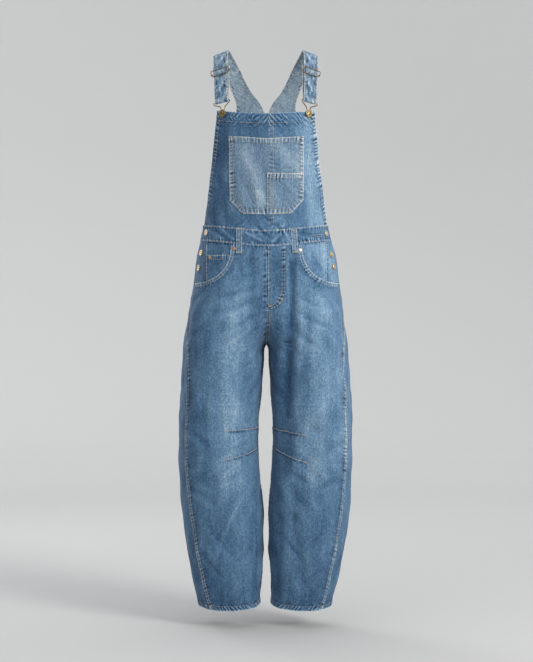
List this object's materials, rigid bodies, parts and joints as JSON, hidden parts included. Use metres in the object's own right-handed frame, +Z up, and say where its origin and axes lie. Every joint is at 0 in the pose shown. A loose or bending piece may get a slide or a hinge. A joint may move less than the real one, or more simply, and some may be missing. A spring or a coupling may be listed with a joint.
{
  "type": "wide-leg denim bib overalls",
  "caption": "Wide-leg denim bib overalls, filled out as worn with nobody in them: bib with pockets, crossed straps on brass hooks, barrel legs",
  "frame": {"origin": "where the garment is held: on the line where the two straps cross the tops of the shoulders, midway between them", "axes": "+Z up along the standing wearer, -Y ahead (the bib's side), +X to the wearer's left"},
  "size_m": [0.4416, 0.2713, 1.4205],
  "materials": {
    "denim": "washed mid-blue twill with pale fades, tan topstitching",
    "old_brass": "antique, dull, dark in the hollows",
    "pale_gold": "pale gold with a darker rim",
    "copper": "coppery, satin",
    "steel": "pale satin rivet"
  },
  "bodies": {
    "root": {"leg_front_R": "denim", "leg_front_L": "denim", "leg_back_R": "denim", "leg_back_L": "denim", "hip_facing_R": "denim", "hip_facing_L": "denim", "coin_pocket_R": "denim", "side_placket_R": "denim", "side_placket_L": "denim", "fly_placket": "denim", "waistband_front": "denim", "waistband_back": "denim", "belt_loop_front_R": "denim", "belt_loop_front_L": "denim", "belt_loop_back_R": "denim", "belt_loop_back_C": "denim", "belt_loop_back_L": "denim", "bib_front_R": "denim", "bib_front_L": "denim", "bib_pocket_R": "denim", "bib_pocket_L": "denim", "bib_pencil_pocket": "denim", "back_bib_R": "denim", "back_bib_L": "denim", "strap_R": "denim", "strap_L": "denim", "slider_R": "old_brass", "slider_L": "old_brass", "hook_R": "old_brass", "hook_L": "old_brass", "bib_button_R": "old_brass", "bib_button_L": "old_brass", "side_button_R1": "pale_gold", "side_button_R2": "pale_gold", "side_button_R3": "pale_gold", "side_button_L1": "pale_gold", "side_button_L2": "pale_gold", "side_button_L3": "pale_gold", "rivet_pocket_R": "copper", "rivet_coin_R": "copper", "rivet_pocket_L": "steel"}
  },
  "joints": []
}
